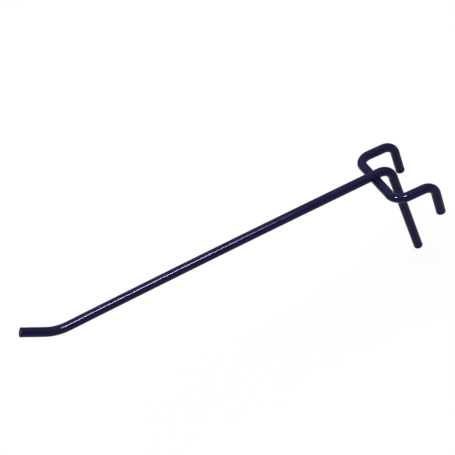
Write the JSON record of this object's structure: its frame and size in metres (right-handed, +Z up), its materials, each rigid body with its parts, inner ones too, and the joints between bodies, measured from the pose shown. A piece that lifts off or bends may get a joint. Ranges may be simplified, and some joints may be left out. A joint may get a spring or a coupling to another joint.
{
  "type": "pegboard hook",
  "caption": "Long coated wire display hook: upturned arm, leg down the board's front, and a cross wire whose prongs run back and turn down behind the board.",
  "frame": {"origin": "midway between the two prongs, on their centre lines where these pass the plane of the board's front face", "axes": "+Z up, -Y out to the front along the arm, +Y back through the board, X = 0 the plane of symmetry"},
  "size_m": [0.0566, 0.2538, 0.1059],
  "materials": {
    "wire_coating": "smooth glossy dark navy coating over steel wire"
  },
  "bodies": {
    "root": {"arm_wire": "wire_coating", "cross_wire": "wire_coating"}
  },
  "joints": []
}
